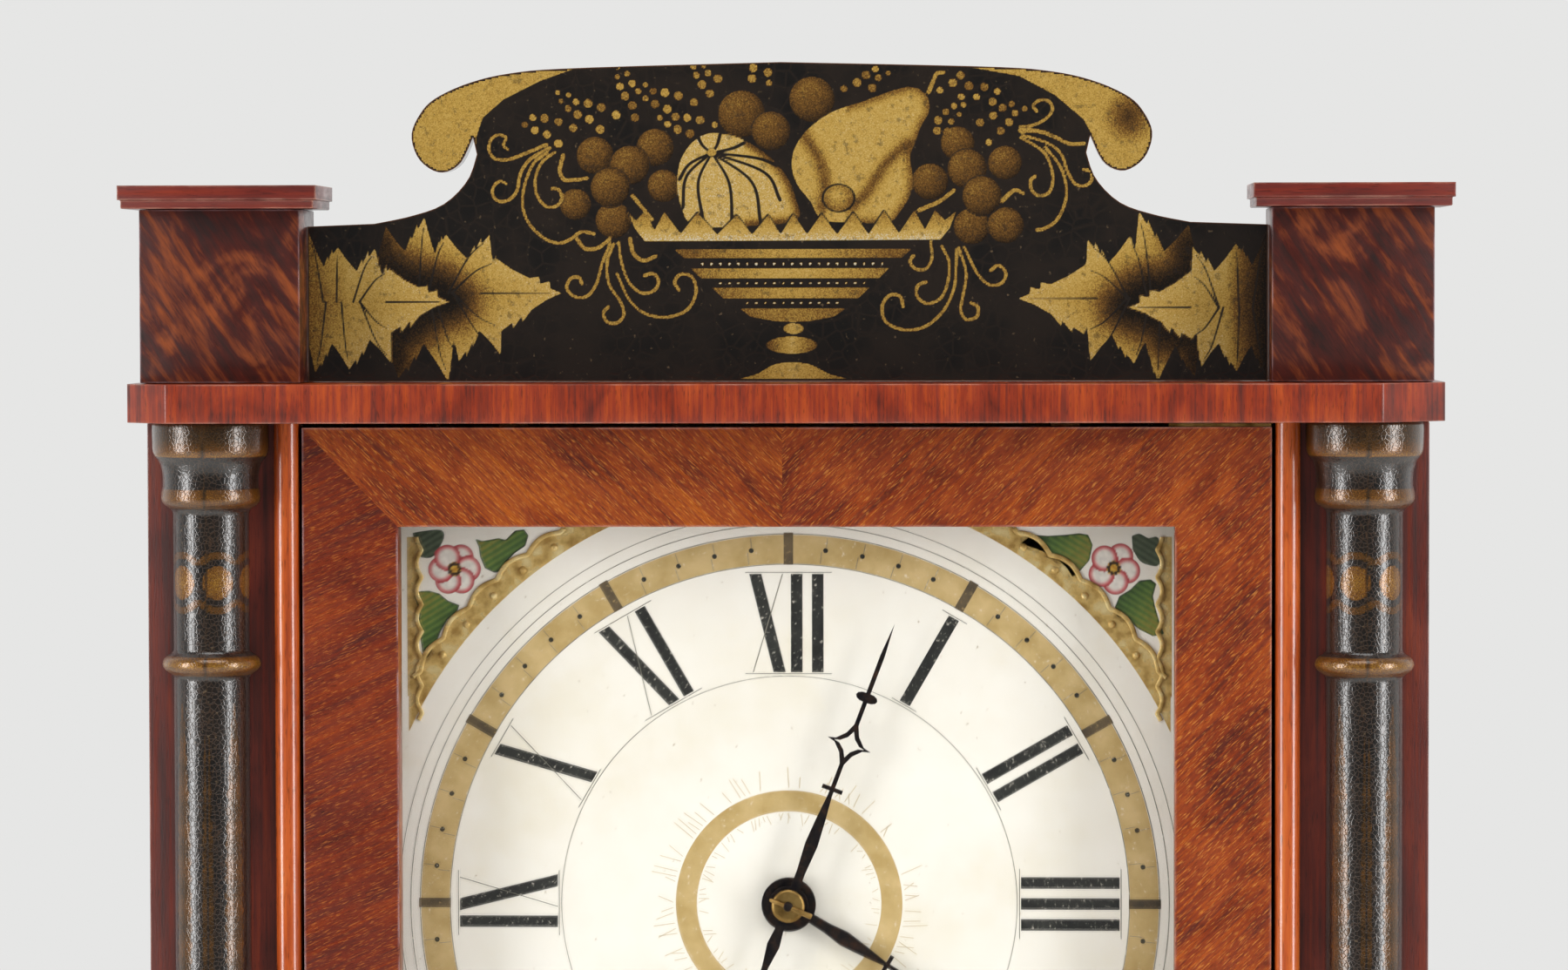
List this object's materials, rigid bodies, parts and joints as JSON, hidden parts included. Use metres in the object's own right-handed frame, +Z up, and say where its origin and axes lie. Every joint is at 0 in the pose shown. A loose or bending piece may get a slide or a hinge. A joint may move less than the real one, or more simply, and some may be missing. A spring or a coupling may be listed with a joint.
{
  "type": "shelf clock",
  "caption": "Stencilled half-column and splat shelf clock: veneered case, glazed hinged door, painted dial, wooden weight-driven movement, pendulum and bell.",
  "frame": {"origin": "middle of the footprint, on the face the clock stands on", "axes": "+Z up, dial and door face -Y, +X to the right seen from the front"},
  "size_m": [0.4404, 0.127, 0.864],
  "materials": {
    "mahogany_veneer": "french polished mahogany crossbanding",
    "dark_mahogany": "polished dark figured mahogany",
    "bead_wood": "varnished light half-round bead",
    "black_lacquer": "black japanned wood with bronze stencilling",
    "pine": "planed pine, unfinished",
    "cherry": "cut and turned cherry",
    "oak": "planed oak",
    "dial_paint": "cream oil paint on a gessoed board",
    "brass": "aged brass",
    "blued_steel": "blued steel, browned with age",
    "cast_iron": "rough cast iron",
    "clear_glass": "old clear window glass",
    "looking_glass": "silvered looking glass",
    "cotton_cord": "braided cotton weight cord"
  },
  "bodies": {
    "case": {"cornice_board": "mahogany_veneer", "base_board": "mahogany_veneer", "left_side_board": "dark_mahogany", "right_side_board": "dark_mahogany", "left_stile": "dark_mahogany", "right_stile": "dark_mahogany", "left_half_column": "black_lacquer", "right_half_column": "black_lacquer", "left_bead": "bead_wood", "right_bead": "bead_wood", "left_chimney": "dark_mahogany", "right_chimney": "dark_mahogany", "left_chimney_cap": "dark_mahogany", "right_chimney_cap": "dark_mahogany", "back_board": "pine", "splat": "black_lacquer", "dial_board": "dial_paint", "left_upright": "pine", "right_upright": "pine", "front_plate": "oak", "back_plate": "oak", "bell": "cast_iron", "time_cord_run": "cotton_cord", "strike_cord_run": "cotton_cord", "time_cord_drop": "cotton_cord", "strike_cord_drop": "cotton_cord"},
    "door": {"door_left_stile": "mahogany_veneer", "door_right_stile": "mahogany_veneer", "door_top_rail": "mahogany_veneer", "door_middle_rail": "mahogany_veneer", "door_bottom_rail": "mahogany_veneer", "dial_glass": "clear_glass", "lower_glass": "looking_glass", "upper_hinge": "brass", "lower_hinge": "brass", "door_knob": "brass"},
    "minute_cannon": {"minute_cannon": "brass", "minute_hand": "blued_steel"},
    "hour_wheel": {"hour_wheel": "cherry", "hour_hand": "blued_steel"},
    "motion_wheel": {"motion_wheel": "cherry"},
    "time_great_wheel": {"time_great_wheel": "cherry"},
    "centre_wheel": {"centre_wheel": "cherry"},
    "third_wheel": {"third_wheel": "cherry"},
    "escape_wheel": {"escape_wheel": "cherry"},
    "verge": {"verge": "blued_steel"},
    "pendulum": {"pendulum_rod": "brass", "pendulum_bob": "brass"},
    "strike_great_wheel": {"strike_great_wheel": "cherry"},
    "pin_wheel": {"pin_wheel": "cherry"},
    "warning_wheel": {"warning_wheel": "cherry"},
    "fly": {"fly": "cherry"},
    "count_wheel": {"count_wheel": "cherry"},
    "hammer": {"hammer": "blued_steel"},
    "time_drum": {"time_drum": "cherry"},
    "time_pulley": {"time_pulley": "cherry"},
    "time_weight": {"time_weight": "cast_iron"},
    "strike_drum": {"strike_drum": "cherry"},
    "strike_pulley": {"strike_pulley": "cherry"},
    "strike_weight": {"strike_weight": "cast_iron"}
  },
  "joints": [
    {"name": "door_swing", "type": "hinge", "parent": "case", "child": "door", "pos_m": [0.1555, -0.036, 0.3787], "axis": [0, 0, 1], "range_deg": [0, 120]},
    {"name": "minute_hand_turn", "type": "hinge", "parent": "case", "child": "minute_cannon", "pos_m": [0, -0.015, 0.5808], "axis": [0, 1, 0], "continuous": true},
    {"name": "hour_hand_turn", "type": "hinge", "parent": "case", "child": "hour_wheel", "pos_m": [0, -0.01, 0.5808], "axis": [0, 1, 0], "continuous": true},
    {"name": "motion_wheel_turn", "type": "hinge", "parent": "case", "child": "motion_wheel", "pos_m": [0.01298, 0, 0.56782], "axis": [0, 1, 0], "continuous": true},
    {"name": "escape_wheel_turn", "type": "hinge", "parent": "case", "child": "escape_wheel", "pos_m": [-0.014, 0.03, 0.6248], "axis": [0, 1, 0], "continuous": true},
    {"name": "third_wheel_turn", "type": "hinge", "parent": "case", "child": "third_wheel", "pos_m": [0.0125, 0.03, 0.6114], "axis": [0, 1, 0], "continuous": true},
    {"name": "centre_wheel_turn", "type": "hinge", "parent": "case", "child": "centre_wheel", "pos_m": [0, 0.03, 0.5808], "axis": [0, 1, 0], "continuous": true},
    {"name": "time_great_wheel_turn", "type": "hinge", "parent": "case", "child": "time_great_wheel", "pos_m": [0.041, 0.016, 0.5515], "axis": [0, 1, 0], "continuous": true},
    {"name": "pendulum_swing", "type": "hinge", "parent": "case", "child": "pendulum", "pos_m": [-0.014, -0.0036, 0.6578], "axis": [0, 1, 0], "range_deg": [-4, 4]},
    {"name": "verge_rock", "type": "hinge", "parent": "case", "child": "verge", "pos_m": [-0.014, 0.02, 0.6578], "axis": [0, 1, 0], "range_deg": [-4, 4]},
    {"name": "fly_turn", "type": "hinge", "parent": "case", "child": "fly", "pos_m": [-0.033, 0.03, 0.65], "axis": [0, 1, 0], "continuous": true},
    {"name": "warning_wheel_turn", "type": "hinge", "parent": "case", "child": "warning_wheel", "pos_m": [-0.049, 0.03, 0.629], "axis": [0, 1, 0], "continuous": true},
    {"name": "pin_wheel_turn", "type": "hinge", "parent": "case", "child": "pin_wheel", "pos_m": [-0.055, 0.03, 0.5999], "axis": [0, 1, 0], "continuous": true},
    {"name": "strike_great_wheel_turn", "type": "hinge", "parent": "case", "child": "strike_great_wheel", "pos_m": [-0.041, 0.042, 0.5515], "axis": [0, 1, 0], "continuous": true},
    {"name": "count_wheel_turn", "type": "hinge", "parent": "case", "child": "count_wheel", "pos_m": [-0.055, 0.003, 0.63615], "axis": [0, 1, 0], "continuous": true},
    {"name": "hammer_lift", "type": "hinge", "parent": "case", "child": "hammer", "pos_m": [-0.082, 0.03, 0.5808], "axis": [0, 1, 0], "range_deg": [0, 4], "stiffness_Nm_per_rad": 0.02},
    {"name": "time_weight_rise", "type": "slide", "parent": "case", "child": "time_weight", "axis": [0, 0, 1], "range_m": [0, 0.487], "deforming": ["time_cord_drop"]},
    {"name": "time_drum_turn", "type": "hinge", "parent": "case", "child": "time_drum", "pos_m": [0.041, 0.03, 0.5515], "axis": [0, -1, 0], "range_deg": [-10, 1800]},
    {"name": "time_pulley_turn", "type": "hinge", "parent": "case", "child": "time_pulley", "pos_m": [0.141, 0.03, 0.75085], "axis": [0, -1, 0], "range_deg": [-10, 2010]},
    {"name": "strike_weight_rise", "type": "slide", "parent": "case", "child": "strike_weight", "axis": [0, 0, 1], "range_m": [0, 0.487], "deforming": ["strike_cord_drop"]},
    {"name": "strike_drum_turn", "type": "hinge", "parent": "case", "child": "strike_drum", "pos_m": [-0.041, 0.03, 0.5515], "axis": [0, 1, 0], "range_deg": [-10, 1800]},
    {"name": "strike_pulley_turn", "type": "hinge", "parent": "case", "child": "strike_pulley", "pos_m": [-0.141, 0.03, 0.75085], "axis": [0, 1, 0], "range_deg": [-10, 2010]}
  ],
  "couplings": [
    {"joint": "hour_hand_turn", "follows": "minute_hand_turn", "ratio": 0.083333},
    {"joint": "motion_wheel_turn", "follows": "minute_hand_turn", "ratio": -0.33333},
    {"joint": "third_wheel_turn", "follows": "escape_wheel_turn", "ratio": -0.125},
    {"joint": "centre_wheel_turn", "follows": "escape_wheel_turn", "ratio": 0.013889},
    {"joint": "time_great_wheel_turn", "follows": "escape_wheel_turn", "ratio": -0.0023148},
    {"joint": "verge_rock", "follows": "pendulum_swing", "ratio": 1},
    {"joint": "warning_wheel_turn", "follows": "fly_turn", "ratio": -0.14286},
    {"joint": "pin_wheel_turn", "follows": "fly_turn", "ratio": 0.017857},
    {"joint": "strike_great_wheel_turn", "follows": "fly_turn", "ratio": -0.0029762},
    {"joint": "count_wheel_turn", "follows": "fly_turn", "ratio": -0.0027473},
    {"joint": "time_drum_turn", "follows": "time_weight_rise", "rad_per_m": 64.1},
    {"joint": "time_pulley_turn", "follows": "time_weight_rise", "rad_per_m": 71.43},
    {"joint": "strike_drum_turn", "follows": "strike_weight_rise", "rad_per_m": 64.1},
    {"joint": "strike_pulley_turn", "follows": "strike_weight_rise", "rad_per_m": 71.43}
  ]
}
